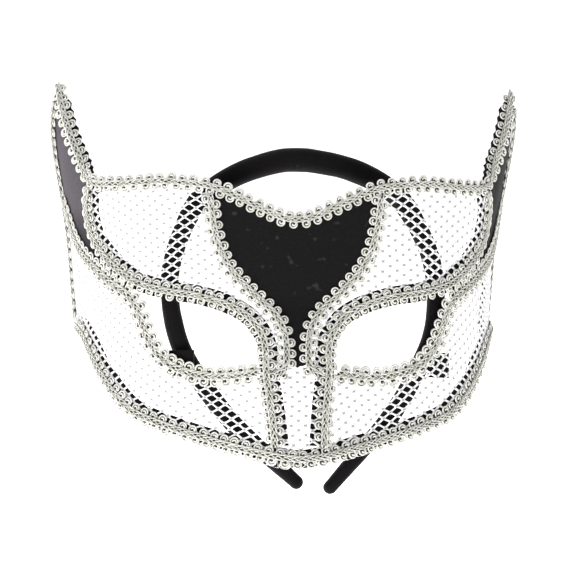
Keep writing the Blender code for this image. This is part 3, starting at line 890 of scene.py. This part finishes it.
def gimp(points, seed, fullness, bare_ends):
    """Gimp braid along a line of the flat pattern: points, faces and cord places."""
    even = evenly(points, BRAID_STEP)
    window = np.ones(BRAID_SMOOTHING) / BRAID_SMOOTHING
    beyond = BRAID_SMOOTHING // 2
    padded = np.pad(directions(even), ((beyond, beyond), (0, 0)), mode="edge")
    along = unit(np.stack([np.convolve(padded[:, a], window, "valid") for a in range(2)], axis=1))
    aside = right_of(along)
    length = length_of(even)
    places = np.linspace(0.0, length, len(even))

    def at(distance):
        index = np.clip(np.searchsorted(places, distance), 0, len(even) - 1)
        return even[index], along[index], aside[index]

    rng = np.random.default_rng(seed)
    return joined(scrolls(at, length, rng, fullness, bare_ends) + plait(at, length, fullness))


def braids(look):
    brow = both_sides(run(BROW, "middle", "tip"))
    edge = edge_line(BRAID_WIDTH)
    eye = run(EYE, "root", "foot")
    shield = run(SHIELD, "shield corner", "tail")
    cheek = run(CHEEK, "wing rear", "nose top")
    clearance = BRAID_WIDTH * BRAID_OVERLAP_SHARE
    laid = [("top", "top_braid", brow, []), ("hem", "hem_braid", edge, [brow])]
    for side, flip in (("right", lambda p: p), ("left", mirrored)):
        laid.append((f"eye_{side}", f"eye_braid_{side}", flip(eye), [brow, edge]))
        laid.append((f"shield_{side}", f"shield_braid_{side}", flip(shield), [brow, flip(eye)]))
        laid.append((f"cheek_{side}", f"cheek_braid_{side}", flip(cheek), [edge, flip(eye)]))
    for seed, (name, node, points, neighbours) in enumerate(laid):
        if neighbours:
            points = cut_back(points, neighbours, clearance)
        fullness = CHEEK_BRAID_FULLNESS if name.startswith("cheek") else 1.0
        bare_ends = BARE_TIP if name == "top" else 0.0
        flat, faces, uvs = gimp(points, seed, fullness, bare_ends)
        new_piece(f"{name}_gimp", wrapped(flat), faces, look, node, uvs)


# Tape
def tapes(look):
    edge = edge_line(HEM_TAPE_WIDTH, HEM_TAPE_INSET)[TAPE_END_POINTS:-TAPE_END_POINTS]
    eye = run(EYE, "root", "foot")
    eye = cut_back(beside(eye, EYE_TAPE_SHIFT), [edge], HEM_TAPE_WIDTH / 2)
    laid = [("hem_binding", "hem_tape", edge, HEM_TAPE_WIDTH),
            ("eye_binding_right", "eye_tape_right", eye, EYE_TAPE_WIDTH),
            ("eye_binding_left", "eye_tape_left", mirrored(eye), EYE_TAPE_WIDTH)]
    high = -(FABRIC_THICKNESS / 2 + GAP)
    across = len(TAPE_ROWS)
    for name, node, line, width in laid:
        line = evenly(line, TAPE_STEP)
        rows = np.stack([beside(line, share * width) for share in TAPE_ROWS], axis=1)
        points = rows.reshape(-1, 2)
        quads = []
        for i in range(len(line) - 1):
            for k in range(across - 1):
                a = i * across + k
                quads.append((a, a + 1, a + 1 + across, a + across))
        tops = np.full(len(points), high)
        flat, faces = two_layers(points, np.array(quads)[:, ::-1], tops, tops - TAPE_THICKNESS)
        piece = new_piece(name, wrapped(flat), faces, look, node)
        piece.data.set_sharp_from_angle(angle=TAPE_CREASE)


# Headband
def band_seat(x, y):
    """Where a felt tab lies on the form so that the band's middle at x bears on it."""
    behind = NET_THICKNESS / 2 + GAP + TAB_THICKNESS + GAP
    behind += TAB_LENGTH / 2 * math.tan(BAND_TILT) + TAB_HOLLOW
    s = math.copysign(1.0, x) * np.linspace(0.0, SEAT_END_SHARE, SEAT_SAMPLES) * HALF_GIRTH
    level = np.full(len(s), y)
    normal = face_normals(s, level)
    reach = np.hypot(normal[:, 0] * BAND_THICKNESS / 2, normal[:, 2] * BAND_WIDTH / 2)
    middle = face_points(s, level) - (behind + reach)[:, None] * normal
    best = np.abs(middle[:, 0] - x).argmin()
    return s[best], middle[best]


def band_sections(line):
    """The middles of the band's sections and their fullness, on through its two round ends."""
    along = directions(line)
    full = np.interp(-line[:, 1] / BAND_LENGTH, *zip(*BAND_FULLNESS))
    centres, sizes = [], []
    for share in reversed(BAND_CAP):
        centres.append(line[0] - along[0] * BAND_THICKNESS / 2 * full[0] * share)
        sizes.append(full[0] * math.sqrt(1.0 - share ** 2))
    centres.extend(line)
    sizes.extend(full)
    for share in BAND_CAP:
        centres.append(line[-1] + along[-1] * BAND_THICKNESS / 2 * full[-1] * share)
        sizes.append(full[-1] * math.sqrt(1.0 - share ** 2))
    return np.array(centres), np.array(sizes)


def band_rings(centres, sizes, drop):
    """The band's puckered surface, ring by ring, in the band's own plane."""
    outward = -right_of(directions(centres))
    turn = np.arange(BAND_SIDES) * 2 * math.pi / BAND_SIDES
    section = rounded_ring(BAND_SIDES, BAND_SQUARENESS) * (BAND_THICKNESS, BAND_WIDTH) / 2
    points = []
    for i, (centre, size, out) in enumerate(zip(centres, sizes, outward)):
        for k in range(BAND_SIDES):
            at = Vector((i * BAND_STEP * BAND_PUCKER_SCALE, math.cos(turn[k]) * BAND_PUCKER_ROUND,
                         math.sin(turn[k]) * BAND_PUCKER_ROUND))
            fold = Vector((i * BAND_STEP / BAND_FOLD_LENGTH, math.cos(turn[k]), BAND_FOLD_LAYER))
            swell = 1.0 + BAND_PUCKER * noise.noise(at) + BAND_FOLD * noise.noise(fold)
            radial, axial = section[k] * size * swell
            points.append((centre[0] + out[0] * radial, centre[1] + out[1] * radial - drop, axial))
    return np.array(points)


def band_faces(rings):
    faces = [(quad[0], *quad[:0:-1]) for quad in ring_quads(rings, BAND_SIDES)]
    faces.append(tuple(range(BAND_SIDES)))
    faces.append(tuple(range((rings - 1) * BAND_SIDES, rings * BAND_SIDES))[::-1])
    return faces


def felt_tab(look, side, s, y):
    """A square of felt behind the net."""
    corners = [(s + a * TAB_WIDTH / 2, y + b * TAB_LENGTH / 2)
               for a, b in ((-1, -1), (1, -1), (1, 1), (-1, 1))]
    flat, faces = cloth(np.array(corners), TAB_THICKNESS, TAB_STEP)
    flat[:, 2] += -(NET_THICKNESS / 2 + GAP) - TAB_THICKNESS / 2
    piece = new_piece(f"felt_tab_{side}", wrapped(flat), faces, look, f"headband_tab_{side}")


def headband(look, felt):
    """The padded band, a nearly closed loop in one plane, and its two felt tabs."""
    half, names = drawn(BAND_LINE, BAND_HALF_WIDTH, -BAND_LENGTH, BAND_STEP)
    hang = half[names["tab"]]
    line = both_sides(half)
    line[-1] += (line[-1] - line[-2]) / np.linalg.norm(line[-1] - line[-2]) * BAND_END_STAGGER
    tab_y = TAB_UP_SHARE * FACE_HEIGHT
    left_s, left = band_seat(BAND_SHIFT - hang[0], tab_y)
    right_s, right = band_seat(BAND_SHIFT + hang[0], tab_y)
    yaw = -math.atan2(right[2] - left[2], right[0] - left[0])
    centres, sizes = band_sections(evenly(line, BAND_STEP))
    turned = Euler((-BAND_TILT, yaw, BAND_ROLL)).to_matrix()
    spin = np.array([list(row) for row in turned])
    place = np.array((BAND_SHIFT, tab_y, (left[2] + right[2]) / 2)) + FACE_PLACE
    points = band_rings(centres, sizes, hang[1]) @ spin.T + place
    at = np.repeat(np.arange(len(centres)) * BAND_STEP, BAND_SIDES)
    uvs = np.stack((at, np.tile(np.arange(BAND_SIDES) / BAND_SIDES, len(centres))), axis=1)
    piece = new_piece("headband_pad", points, band_faces(len(centres)), look, "headband", uvs)
    felt_tab(felt, "left", left_s - TAB_SHIFT, tab_y)
    felt_tab(felt, "right", right_s + TAB_SHIFT, tab_y)


# Materials
def material(name, colour, roughness, sheen=0.0, metallic=0.0):
    made = bpy.data.materials.new(name)
    made.use_nodes = True
    shader = made.node_tree.nodes["Principled BSDF"]
    shader.inputs["Base Color"].default_value = (*colour, 1.0)
    shader.inputs["Roughness"].default_value = roughness
    shader.inputs["Metallic"].default_value = metallic
    shader.inputs["Sheen Weight"].default_value = sheen
    return made, shader


def add_node(made, kind, **settings):
    node = made.node_tree.nodes.new(kind)
    for key, value in settings.items():
        setattr(node, key, value)
    return node


def link(made, source, socket):
    """Joins an output to an input, or sets the input where the source is a plain number or colour."""
    if isinstance(source, float):
        socket.default_value = source
    elif isinstance(source, tuple):
        socket.default_value = (*source, 1.0)
    else:
        made.node_tree.links.new(source, socket)


def object_places(made):
    return add_node(made, "ShaderNodeTexCoord").outputs["Object"]


def parts_of(made, source):
    split = add_node(made, "ShaderNodeSeparateXYZ")
    link(made, source, split.inputs["Vector"])
    return split.outputs


def noise_node(made, scale, detail=YARN_DETAIL):
    grain = add_node(made, "ShaderNodeTexNoise")
    grain.inputs["Scale"].default_value = scale
    grain.inputs["Detail"].default_value = detail
    link(made, object_places(made), grain.inputs["Vector"])
    return grain.outputs["Fac"]


def ramp_node(made, source, stops):
    ramp = add_node(made, "ShaderNodeValToRGB")
    elements = ramp.color_ramp.elements
    while len(elements) < len(stops):
        elements.new(0.5)
    for element, (place, colour) in zip(elements, stops):
        element.position = place
        element.color = (*colour, 1.0)
    link(made, source, ramp.inputs["Fac"])
    return ramp.outputs["Color"]


def bump_node(made, shader, source, strength, distance):
    bump = add_node(made, "ShaderNodeBump")
    bump.inputs["Strength"].default_value = strength
    bump.inputs["Distance"].default_value = distance
    link(made, source, bump.inputs["Height"])
    link(made, bump.outputs["Normal"], shader.inputs["Normal"])


def mix_node(made, source, first, second):
    """A colour between two others, which are outputs or plain colours."""
    mix = add_node(made, "ShaderNodeMix", data_type="RGBA")
    link(made, source, mix.inputs["Factor"])
    link(made, first, mix.inputs["A"])
    link(made, second, mix.inputs["B"])
    return mix.outputs["Result"]


def range_node(made, source, low, high):
    scaled = add_node(made, "ShaderNodeMapRange")
    scaled.inputs["From Min"].default_value = low
    scaled.inputs["From Max"].default_value = high
    link(made, source, scaled.inputs["Value"])
    return scaled.outputs["Result"]


def math_node(made, operation, *terms):
    node = add_node(made, "ShaderNodeMath", operation=operation)
    for term, socket in zip(terms, node.inputs):
        link(made, term, socket)
    return node.outputs[0]


def yarn_places(made):
    """The lengthwise or knot mark, and the place round the yarn, that a piece's UVs hold."""
    split = parts_of(made, add_node(made, "ShaderNodeUVMap", uv_map="yarn").outputs["UV"])
    return split["X"], split["Y"]


def net_material():
    made, shader = material("net_yarn", NET_COLOUR, NET_ROUGHNESS, NET_SHEEN)
    knot, _ = yarn_places(made)
    grain = noise_node(made, NET_GRAIN_SCALE)
    # Painted shade: the yarn turns grey at the knots, where the knots shade the net
    colour = mix_node(made, range_node(made, knot, *NET_KNOT_SHADE_SPAN), ramp_node(made, grain, NET_TONES),
                      NET_KNOT_PAINTED_SHADE)
    link(made, colour, shader.inputs["Base Color"])
    # Painted light: the yarn's colour also glows, though the yarn is no lamp
    link(made, colour, shader.inputs["Emission Color"])
    shader.inputs["Emission Strength"].default_value = NET_PAINTED_GLOW
    bump_node(made, shader, grain, *NET_BUMP)
    return made


def cord_material():
    """Twisted silver cord, with painted shade that makes it dark on its underside and half as dark on
    its sides.
    """
    made, shader = material("silver_cord", CORD_COLOUR, CORD_ROUGHNESS, CORD_SHEEN, CORD_METAL)
    lengthwise, around = yarn_places(made)
    along = math_node(made, "MULTIPLY", lengthwise, 2 * math.pi / CORD_TWIST)
    spiral = math_node(made, "MULTIPLY_ADD", around, 2 * math.pi, along)
    bump_node(made, shader, math_node(made, "SINE", spiral), *CORD_BUMP)
    tone = ramp_node(made, noise_node(made, CORD_GRAIN_SCALE), CORD_TONES)
    # Painted shade: darker where the cord faces down, and half as dark on its sides
    rise = math_node(made, "SINE", math_node(made, "MULTIPLY", around, 2 * math.pi))
    colour = mix_node(made, range_node(made, rise, *CORD_PAINTED_SHADE_SPAN), CORD_PAINTED_SHADE, tone)
    link(made, colour, shader.inputs["Base Color"])
    return made


def napped_cloth(name, dark):
    made, shader = material(name, dark, CLOTH_ROUGHNESS, CLOTH_SHEEN)
    shader.inputs["Sheen Roughness"].default_value = CLOTH_SHEEN_ROUGHNESS
    shader.inputs["Specular IOR Level"].default_value = CLOTH_SPECULAR
    nap = noise_node(made, NAP_SCALE, NAP_DETAIL)
    bump_node(made, shader, nap, *NAP_BUMP)
    return made, shader, nap


def black_cloth(name, dark, light, lint):
    """Matte knitted cloth with a fine nap and a few specks of lint."""
    made, shader, nap = napped_cloth(name, dark)
    # Painted shade: the nap's hollows are coloured darker than its tips
    tone = ramp_node(made, nap, tuple(zip(NAP_SPAN, (dark, light))))
    specks = range_node(made, noise_node(made, LINT_SCALE, LINT_DETAIL), *LINT_SPAN)
    link(made, mix_node(made, specks, tone, lint), shader.inputs["Base Color"])
    return made


def sheen_painted_cloth(name, dark, pale):
    """Knitted cloth with painted sheen: its nap is painted pale towards the wing's tip, but not on its
    turned edge.
    """
    made, shader, nap = napped_cloth(name, dark)
    shade = tuple(PAINTED_SHEEN_NAP_SHADE * v for v in pale)
    # Painted sheen: pale nap up the wing, unevenly, and back to black where the cloth faces up the
    # face
    tone = ramp_node(made, nap, tuple(zip(NAP_SPAN, (shade, pale))))
    up = parts_of(made, object_places(made))["Y"]
    blotches = noise_node(made, PAINTED_SHEEN_BLOTCH_SCALE, PAINTED_SHEEN_BLOTCH_DETAIL)
    uneven = math_node(made, "MULTIPLY_ADD", blotches, PAINTED_SHEEN_UNEVENNESS, up)
    colour = mix_node(made, range_node(made, uneven, *PAINTED_SHEEN_SPAN), dark, tone)
    facing = parts_of(made, add_node(made, "ShaderNodeNewGeometry").outputs["Normal"])["Y"]
    colour = mix_node(made, range_node(made, facing, *PAINTED_SHEEN_TURN), colour, dark)
    link(made, colour, shader.inputs["Base Color"])
    return made


# Floor, light and camera
CAMERA_TARGET = Vector((0.0, -0.0054, 0.045))
CAMERA_AZIMUTH = math.radians(5.0)
CAMERA_TILT = math.radians(5.0)
CAMERA_DISTANCE = 0.900
CAMERA_LENS_PX = 2117.6
PICTURE_PX = 573.0
SENSOR_MM = 36.0
CAMERA_SHIFT = (-0.0075, 0.0236)
WHITE = (1.0, 1.0, 1.0)
FLOOR_COLOUR = (0.95, 0.95, 0.95)
FLOOR_ROUGHNESS = 0.8
FLOOR_GLOW = 0.85
FLOOR_HALF_WIDTH = 3.0
WORLD_STRENGTH = 0.30
LIGHT_AIM = Vector((0.0, 0.0, 0.04))

# Soft lights: name, place, width in metres, power in watts
LIGHTS = (
    ("key", (-0.28, -0.80, 1.00), 0.7, 11.0),
    ("fill", (0.42, -0.75, 1.00), 0.7, 7.0),
    ("rim", (-0.80, 0.15, 0.35), 0.5, 2.5),
)


def stage():
    floor_mesh = bpy.data.meshes.new("floor")
    half = FLOOR_HALF_WIDTH
    floor_mesh.from_pydata([(-half, -half, 0), (half, -half, 0), (half, half, 0), (-half, half, 0)],
                           [], [(0, 1, 2, 3)])
    floor = bpy.data.objects.new("floor", floor_mesh)
    bpy.context.collection.objects.link(floor)
    look, shader = material("floor_white", FLOOR_COLOUR, FLOOR_ROUGHNESS)
    shader.inputs["Emission Color"].default_value = (*WHITE, 1.0)
    shader.inputs["Emission Strength"].default_value = FLOOR_GLOW
    floor_mesh.materials.append(look)
    world = bpy.data.worlds.new("studio")
    world.use_nodes = True
    background = world.node_tree.nodes["Background"]
    background.inputs["Color"].default_value = (*WHITE, 1.0)
    background.inputs["Strength"].default_value = WORLD_STRENGTH
    bpy.context.scene.world = world
    for name, place, size, power in LIGHTS:
        light = bpy.data.lights.new(name, "AREA")
        light.size = size
        light.energy = power
        made = bpy.data.objects.new(name, light)
        made.location = place
        aim = LIGHT_AIM - Vector(place)
        made.rotation_euler = aim.to_track_quat("-Z", "Y").to_euler()
        bpy.context.collection.objects.link(made)


def camera():
    azimuth, tilt = CAMERA_AZIMUTH, CAMERA_TILT
    back = Vector((-math.sin(azimuth) * math.cos(tilt), -math.sin(tilt),
                   math.cos(azimuth) * math.cos(tilt)))
    data = bpy.data.cameras.new("camera")
    data.sensor_width = SENSOR_MM
    data.lens = CAMERA_LENS_PX / PICTURE_PX * SENSOR_MM
    data.shift_x, data.shift_y = CAMERA_SHIFT
    made = bpy.data.objects.new("camera", data)
    made.location = CAMERA_TARGET + back * CAMERA_DISTANCE
    up = Vector((0.0, 1.0, 0.0))
    right = up.cross(back).normalized()
    above = back.cross(right)
    rows = [(right[i], above[i], back[i]) for i in range(3)]
    made.rotation_euler = Matrix(rows).to_euler()
    bpy.context.collection.objects.link(made)
    bpy.context.scene.camera = made


bpy.context.scene.view_settings.view_transform = "Standard"
camera()
stage()
nets(net_material())
black, band_black, felt_black = [black_cloth(*row) for row in CLOTH_LOOKS]
panels(black, sheen_painted_cloth("wing_cloth", WING_CLOTH_BLACK, PAINTED_SHEEN_PALE))
tapes(black)
braids(cord_material())
headband(band_black, felt_black)
